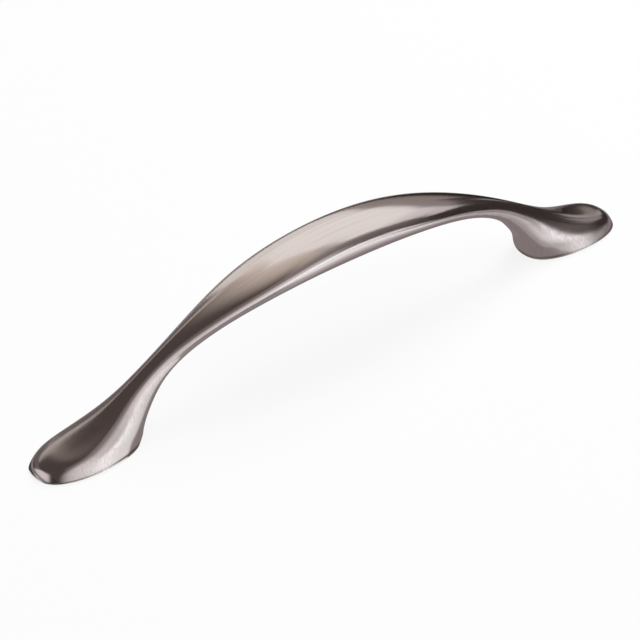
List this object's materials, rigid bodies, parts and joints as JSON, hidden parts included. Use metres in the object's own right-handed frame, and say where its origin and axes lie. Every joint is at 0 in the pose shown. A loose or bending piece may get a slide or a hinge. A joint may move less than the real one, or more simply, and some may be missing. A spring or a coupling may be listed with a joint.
{
  "type": "cabinet pull",
  "caption": "Arched cabinet pull in satin nickel: a domed grip on slim necks, with spoon-shaped feet that are screwed on from behind a drawer front.",
  "frame": {"origin": "midway between the two screw axes, on the mounting face under the feet", "axes": "+X along the grip, +Y across it, +Z away from the drawer front"},
  "size_m": [0.1306, 0.0118, 0.026],
  "materials": {
    "satin_nickel": "satin nickel plate with fine lengthwise brushing"
  },
  "bodies": {
    "root": {"pull": "satin_nickel"}
  },
  "joints": []
}
